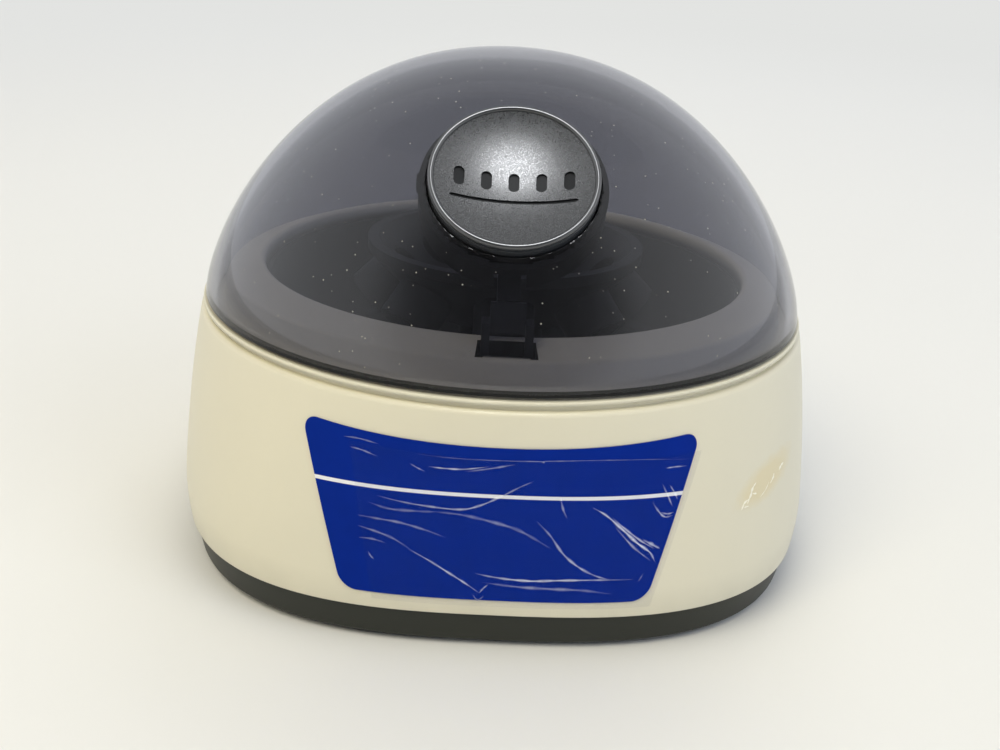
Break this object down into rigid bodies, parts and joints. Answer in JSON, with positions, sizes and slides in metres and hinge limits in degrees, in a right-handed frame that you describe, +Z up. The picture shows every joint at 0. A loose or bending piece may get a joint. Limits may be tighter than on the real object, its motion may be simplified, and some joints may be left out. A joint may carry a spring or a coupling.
{
  "type": "microcentrifuge",
  "caption": "Bench microcentrifuge: smoked domed lid on a rear hinge, push-button latch, angled tube rotor on a motor spindle, ivory housing on a dark grey base tray.",
  "frame": {"origin": "on the rotor axis, at the height of the feet's lower faces", "axes": "+Z up along the rotor axis, -Y to the front with the label, +X to the right seen from the front"},
  "size_m": [0.1598, 0.1675, 0.1213],
  "materials": {
    "ivory_abs": "fine moulded satin",
    "grey_abs": "moulded satin",
    "black_rubber": "matt",
    "zinc_steel": "zinc plated",
    "blue_film": "printed film with one white line",
    "dark_abs": "satin",
    "motor_steel": "plated can",
    "board_green": "solder mask",
    "black_nylon": "moulded",
    "rocker_black": "gloss",
    "red_acetal": "moulded",
    "smoked_acrylic": "smoked clear, polished",
    "button_grey": "fine texture with a polished bead",
    "spring_steel": "drawn wire",
    "shaft_steel": "ground",
    "adapter_alloy": "turned",
    "rotor_black": "moulded satin"
  },
  "bodies": {
    "base": {"upper_housing": "ivory_abs", "base_tray": "grey_abs", "rubber_feet": "black_rubber", "base_screws": "zinc_steel", "front_label": "blue_film", "chamber_bowl": "dark_abs", "bowl_screws": "zinc_steel", "shaft_seal": "black_rubber", "drive_motor": "motor_steel", "motor_plate": "zinc_steel", "motor_grommets": "black_rubber", "plate_screws": "zinc_steel", "motor_screws": "zinc_steel", "control_board": "board_green", "board_components": "black_nylon", "board_screws": "zinc_steel", "power_inlet": "black_nylon", "inlet_nut": "zinc_steel", "switch_frame": "black_nylon", "lid_switch": "black_nylon", "switch_screws": "zinc_steel", "hinge_pin": "shaft_steel"},
    "lid": {"lid_dome": "smoked_acrylic", "latch_housing": "black_nylon", "latch_pin": "shaft_steel", "button_spring": "spring_steel"},
    "button": {"press_button": "button_grey"},
    "latch": {"latch_lever": "black_nylon"},
    "spindle": {"motor_shaft": "shaft_steel", "shaft_adapter": "adapter_alloy", "tube_rotor": "rotor_black", "rotor_nut": "rotor_black"},
    "switch_rocker": {"rocker": "rocker_black"},
    "plunger": {"switch_plunger": "red_acetal"}
  },
  "joints": [
    {"name": "lid_hinge", "type": "hinge", "parent": "base", "child": "lid", "pos_m": [0, 0.08, 0.0635], "axis": [-1, 0, 0], "range_deg": [0, 85]},
    {"name": "button_press", "type": "slide", "parent": "lid", "child": "button", "axis": [0, 0.6587, -0.7524], "range_m": [-0.001, 0.0012], "stiffness_N_per_m": 400, "deforming": ["button_spring"]},
    {"name": "latch_swing", "type": "hinge", "parent": "lid", "child": "latch", "pos_m": [0, -0.04375, 0.08695], "axis": [-1, 0, 0], "range_deg": [-3.6, 4.4]},
    {"name": "rotor_spin", "type": "hinge", "parent": "base", "child": "spindle", "pos_m": [0, 0, 0.055], "axis": [0, 0, 1], "continuous": true},
    {"name": "power_rocker", "type": "hinge", "parent": "base", "child": "switch_rocker", "pos_m": [0.015, 0.0801, 0.03], "axis": [-1, 0, 0], "range_deg": [0, 16]},
    {"name": "lid_switch_plunger", "type": "slide", "parent": "base", "child": "plunger", "axis": [0, 0, 1], "range_m": [0, 0.0008]}
  ],
  "couplings": [
    {"joint": "latch_swing", "follows": "button_press", "rad_per_m": 62.5},
    {"joint": "lid_switch_plunger", "follows": "lid_hinge", "m_per_rad": 0.000539}
  ]
}
